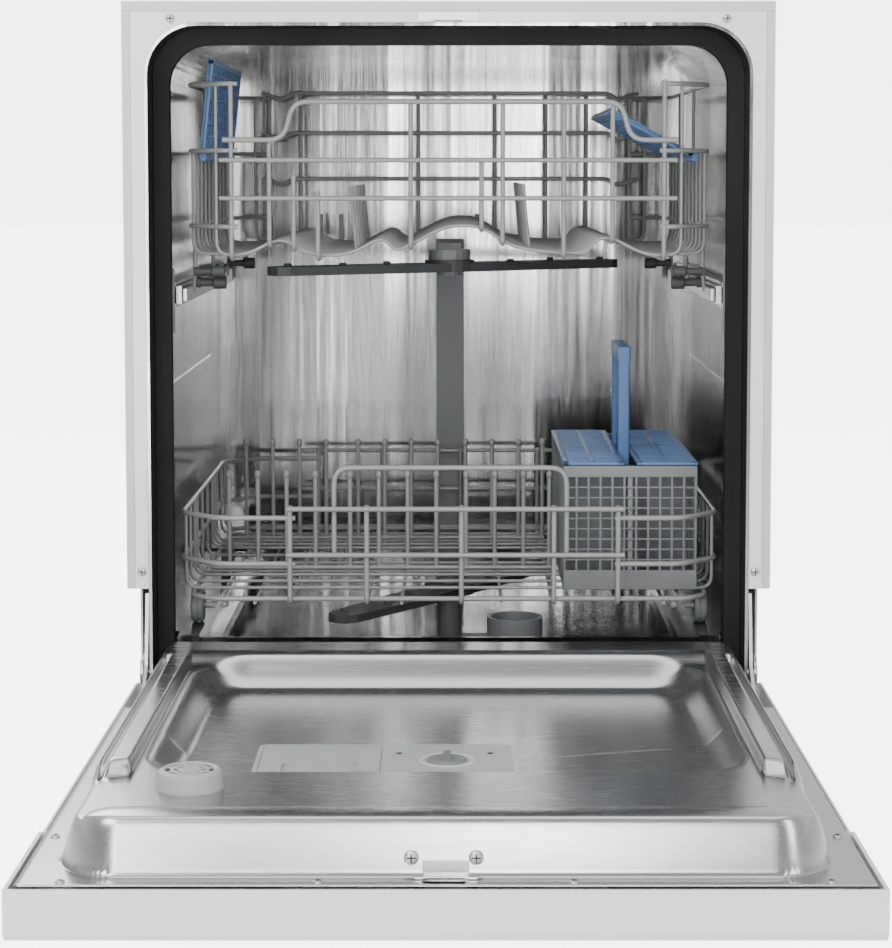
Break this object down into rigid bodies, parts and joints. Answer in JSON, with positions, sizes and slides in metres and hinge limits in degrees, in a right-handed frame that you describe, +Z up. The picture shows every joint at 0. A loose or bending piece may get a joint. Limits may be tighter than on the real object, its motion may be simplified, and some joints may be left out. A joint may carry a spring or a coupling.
{
  "type": "built in dishwasher",
  "caption": "Built-in dishwasher with a drop-down door, stainless tub, two sliding wire racks, spray arms, filter, cup shelves and a lidded cutlery basket.",
  "frame": {"origin": "middle of the whole footprint, door open, on the floor", "axes": "+X to the right seen from the front, +Y from the door towards the back, +Z up"},
  "size_m": [0.606, 1.194, 0.864],
  "materials": {
    "white_enamel": "smooth white enamel",
    "grey_sheet": "pale grey coated sheet",
    "tub_steel": "bright rolled stainless steel",
    "liner_steel": "pressed stainless steel, fine grain",
    "zinc_steel": "zinc plated steel",
    "rubber": "matt black rubber",
    "rack_wire": "nylon coated wire, light grey",
    "dark_plastic": "dark grey moulded plastic",
    "grey_plastic": "mid grey moulded plastic",
    "pale_plastic": "pale grey moulded plastic",
    "blue_plastic": "blue moulded plastic",
    "white_plastic": "white moulded plastic"
  },
  "bodies": {
    "cabinet": {"tub": "tub_steel", "front_frame": "white_enamel", "side_panel_right": "grey_sheet", "side_panel_left": "grey_sheet", "top_strip": "grey_sheet", "top_cover": "grey_sheet", "rear_panel": "grey_sheet", "door_gasket": "rubber", "bottom_seal": "rubber", "striker": "zinc_steel", "base_tray": "dark_plastic", "kick_plate": "dark_plastic", "foot_front_left": "dark_plastic", "foot_front_right": "dark_plastic", "foot_rear_left": "dark_plastic", "foot_rear_right": "dark_plastic", "sump": "dark_plastic", "circulation_pump": "white_plastic", "drain_pump": "white_plastic", "inlet_valve": "white_plastic", "junction_box": "grey_sheet", "feed_pipe": "grey_plastic", "filter_plate": "grey_plastic", "hinge_bracket_right": "zinc_steel", "hinge_bracket_left": "zinc_steel", "door_spring_right": "zinc_steel", "door_spring_left": "zinc_steel", "rail_track_right": "zinc_steel", "rail_track_left": "zinc_steel"},
    "door": {"door_liner": "liner_steel", "door_panel": "white_enamel", "console": "white_enamel", "hinge_arm_right": "zinc_steel", "hinge_arm_left": "zinc_steel", "dispenser": "pale_plastic", "vent_cap": "pale_plastic", "latch_housing": "dark_plastic"},
    "upper_rack": {"upper_rack": "rack_wire", "rack_manifold": "grey_plastic"},
    "lower_rack": {"lower_rack": "rack_wire"},
    "detergent_lid": {"detergent_lid": "pale_plastic"},
    "rinse_aid_cap": {"rinse_aid_cap": "grey_plastic"},
    "latch_hook": {"latch_hook": "zinc_steel"},
    "button_1": {"button_1": "pale_plastic"},
    "button_2": {"button_2": "pale_plastic"},
    "button_3": {"button_3": "pale_plastic"},
    "middle_rail_right": {"middle_rail_right": "zinc_steel"},
    "middle_rail_left": {"middle_rail_left": "zinc_steel"},
    "cup_shelf_right": {"cup_shelf_right": "blue_plastic"},
    "cup_shelf_left": {"cup_shelf_left": "blue_plastic"},
    "upper_spray_arm": {"upper_spray_arm": "dark_plastic"},
    "wheel_front_left": {"wheel_front_left": "dark_plastic"},
    "wheel_front_right": {"wheel_front_right": "dark_plastic"},
    "wheel_rear_left": {"wheel_rear_left": "dark_plastic"},
    "wheel_rear_right": {"wheel_rear_right": "dark_plastic"},
    "cutlery_basket": {"cutlery_basket": "grey_plastic"},
    "lid_flap_left": {"lid_flap_left": "blue_plastic"},
    "lid_flap_right": {"lid_flap_right": "blue_plastic"},
    "lower_spray_arm": {"lower_spray_arm": "dark_plastic"},
    "filter_cup": {"filter_cup": "grey_plastic"}
  },
  "joints": [
    {"name": "door_hinge", "type": "hinge", "parent": "cabinet", "child": "door", "pos_m": [0, 0.025, 0.24], "axis": [1, 0, 0], "range_deg": [-90, 0]},
    {"name": "detergent_lid_hinge", "type": "hinge", "parent": "door", "child": "detergent_lid", "pos_m": [-0.099, -0.315, 0.25], "axis": [1, 0, 0], "range_deg": [-100, 0]},
    {"name": "rinse_aid_turn", "type": "hinge", "parent": "door", "child": "rinse_aid_cap", "pos_m": [0, -0.357, 0.25], "axis": [0, 0, 1], "range_deg": [0, 90]},
    {"name": "latch_hook_pivot", "type": "hinge", "parent": "door", "child": "latch_hook", "pos_m": [0, -0.58245, 0.198], "axis": [1, 0, 0], "range_deg": [0, 15], "stiffness_Nm_per_rad": 0.05},
    {"name": "button_1_press", "type": "slide", "parent": "door", "child": "button_1", "axis": [0, 0, 1], "range_m": [0, 0.0015], "stiffness_N_per_m": 300},
    {"name": "button_2_press", "type": "slide", "parent": "door", "child": "button_2", "axis": [0, 0, 1], "range_m": [0, 0.0015], "stiffness_N_per_m": 300},
    {"name": "button_3_press", "type": "slide", "parent": "door", "child": "button_3", "axis": [0, 0, 1], "range_m": [0, 0.0015], "stiffness_N_per_m": 300},
    {"name": "upper_rack_slide", "type": "slide", "parent": "cabinet", "child": "upper_rack", "axis": [0, -1, 0], "range_m": [0, 0.4]},
    {"name": "middle_rail_right_slide", "type": "slide", "parent": "cabinet", "child": "middle_rail_right", "axis": [0, -1, 0], "range_m": [0, 0.2]},
    {"name": "middle_rail_left_slide", "type": "slide", "parent": "cabinet", "child": "middle_rail_left", "axis": [0, -1, 0], "range_m": [0, 0.2]},
    {"name": "upper_spray_spin", "type": "hinge", "parent": "upper_rack", "child": "upper_spray_arm", "pos_m": [0, 0.315, 0.61], "axis": [0, 0, 1], "continuous": true},
    {"name": "cup_shelf_right_fold", "type": "hinge", "parent": "upper_rack", "child": "cup_shelf_right", "pos_m": [0.238, 0.275, 0.722], "axis": [0, 1, 0], "range_deg": [0, 56]},
    {"name": "cup_shelf_left_fold", "type": "hinge", "parent": "upper_rack", "child": "cup_shelf_left", "pos_m": [-0.238, 0.275, 0.722], "axis": [0, 1, 0], "range_deg": [0, 56]},
    {"name": "lower_rack_slide", "type": "slide", "parent": "cabinet", "child": "lower_rack", "axis": [0, -1, 0], "range_m": [0, 0.45]},
    {"name": "wheel_front_left_spin", "type": "hinge", "parent": "lower_rack", "child": "wheel_front_left", "pos_m": [-0.246, 0.127, 0.2843], "axis": [1, 0, 0], "continuous": true},
    {"name": "wheel_front_right_spin", "type": "hinge", "parent": "lower_rack", "child": "wheel_front_right", "pos_m": [0.246, 0.127, 0.2843], "axis": [1, 0, 0], "continuous": true},
    {"name": "wheel_rear_left_spin", "type": "hinge", "parent": "lower_rack", "child": "wheel_rear_left", "pos_m": [-0.246, 0.435, 0.2843], "axis": [1, 0, 0], "continuous": true},
    {"name": "wheel_rear_right_spin", "type": "hinge", "parent": "lower_rack", "child": "wheel_rear_right", "pos_m": [0.246, 0.435, 0.2843], "axis": [1, 0, 0], "continuous": true},
    {"name": "basket_lift", "type": "slide", "parent": "lower_rack", "child": "cutlery_basket", "axis": [0, 0, 1], "range_m": [0, 0.055]},
    {"name": "lid_flap_left_hinge", "type": "hinge", "parent": "cutlery_basket", "child": "lid_flap_left", "pos_m": [0.11, 0.239, 0.4263], "axis": [0, -1, 0], "range_deg": [0, 100]},
    {"name": "lid_flap_right_hinge", "type": "hinge", "parent": "cutlery_basket", "child": "lid_flap_right", "pos_m": [0.24, 0.239, 0.4263], "axis": [0, 1, 0], "range_deg": [0, 100]},
    {"name": "lower_spray_spin", "type": "hinge", "parent": "cabinet", "child": "lower_spray_arm", "pos_m": [0, 0.305, 0.27], "axis": [0, 0, 1], "continuous": true},
    {"name": "filter_cup_turn", "type": "hinge", "parent": "cabinet", "child": "filter_cup", "pos_m": [0.066, 0.187, 0.25], "axis": [0, 0, 1], "range_deg": [0, 90]}
  ],
  "couplings": [
    {"joint": "middle_rail_right_slide", "follows": "upper_rack_slide", "ratio": 0.5},
    {"joint": "middle_rail_left_slide", "follows": "upper_rack_slide", "ratio": 0.5},
    {"joint": "wheel_front_left_spin", "follows": "lower_rack_slide", "rad_per_m": 62.5},
    {"joint": "wheel_front_right_spin", "follows": "lower_rack_slide", "rad_per_m": 62.5},
    {"joint": "wheel_rear_left_spin", "follows": "lower_rack_slide", "rad_per_m": 62.5},
    {"joint": "wheel_rear_right_spin", "follows": "lower_rack_slide", "rad_per_m": 62.5}
  ]
}
